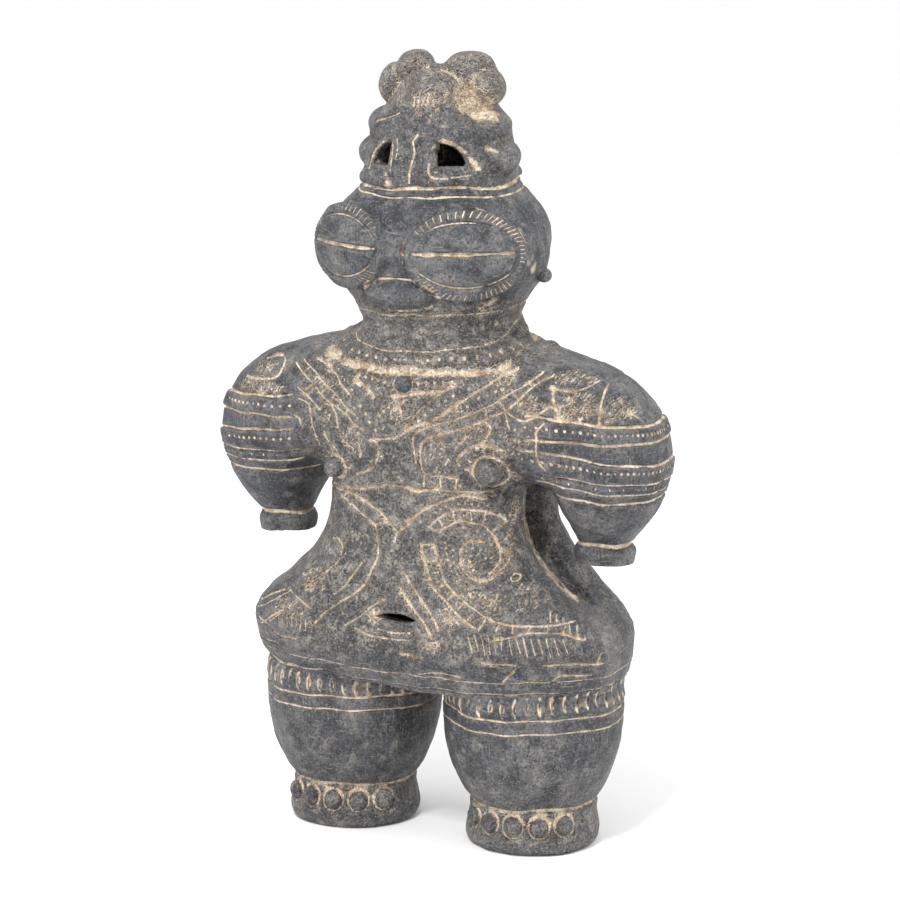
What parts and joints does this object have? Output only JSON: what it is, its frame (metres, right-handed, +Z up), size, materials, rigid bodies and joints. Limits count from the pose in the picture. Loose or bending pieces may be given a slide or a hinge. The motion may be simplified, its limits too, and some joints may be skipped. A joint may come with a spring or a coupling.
{
  "type": "hollow goggle-eyed clay figure",
  "caption": "Standing hollow fired-clay figure with slit goggle eyes, openwork crown, bulbous limbs, wide hips, laid-on straps and knobs, and dark burnished skin with ochre slip",
  "frame": {"origin": "on the ground in the middle between the feet, at the bottom centre of the bounding box", "axes": "+Z up, the figure faces -Y, its own left is +X"},
  "size_m": [0.224, 0.1108, 0.3598],
  "materials": {
    "dark_clay": "burnished dark blue-grey fired clay",
    "worn_clay": "rubbed warm grey fired clay",
    "ochre_slip": "matte pale ochre slip over dark clay"
  },
  "bodies": {
    "root": {"hip_shell": "dark_clay", "chest_shell": "dark_clay", "neck": "dark_clay", "head_shell": "dark_clay", "crown_shell": "dark_clay", "left_arm": "dark_clay", "right_arm": "dark_clay", "left_hand": "worn_clay", "right_hand": "worn_clay", "left_leg": "dark_clay", "right_leg": "dark_clay", "left_foot": "worn_clay", "right_foot": "worn_clay", "left_toes": "worn_clay", "right_toes": "worn_clay", "left_goggle": "worn_clay", "right_goggle": "worn_clay", "mouth_ring": "worn_clay", "brow_band": "ochre_slip", "left_ear_knob": "worn_clay", "right_ear_knob": "worn_clay", "left_crown_lobes": "dark_clay", "right_crown_lobes": "dark_clay", "crown_front_boss": "worn_clay", "crown_back_boss": "worn_clay", "upper_necklace": "worn_clay", "lower_necklace": "worn_clay", "throat_knob": "worn_clay", "left_breast": "worn_clay", "right_breast": "worn_clay", "left_shoulder_knob": "worn_clay", "right_shoulder_knob": "worn_clay", "left_upper_armband": "worn_clay", "right_upper_armband": "worn_clay", "left_lower_armband": "worn_clay", "right_lower_armband": "worn_clay", "hip_hem": "worn_clay", "hip_knobs": "worn_clay", "left_thigh_band": "ochre_slip", "right_thigh_band": "ochre_slip"}
  },
  "joints": []
}
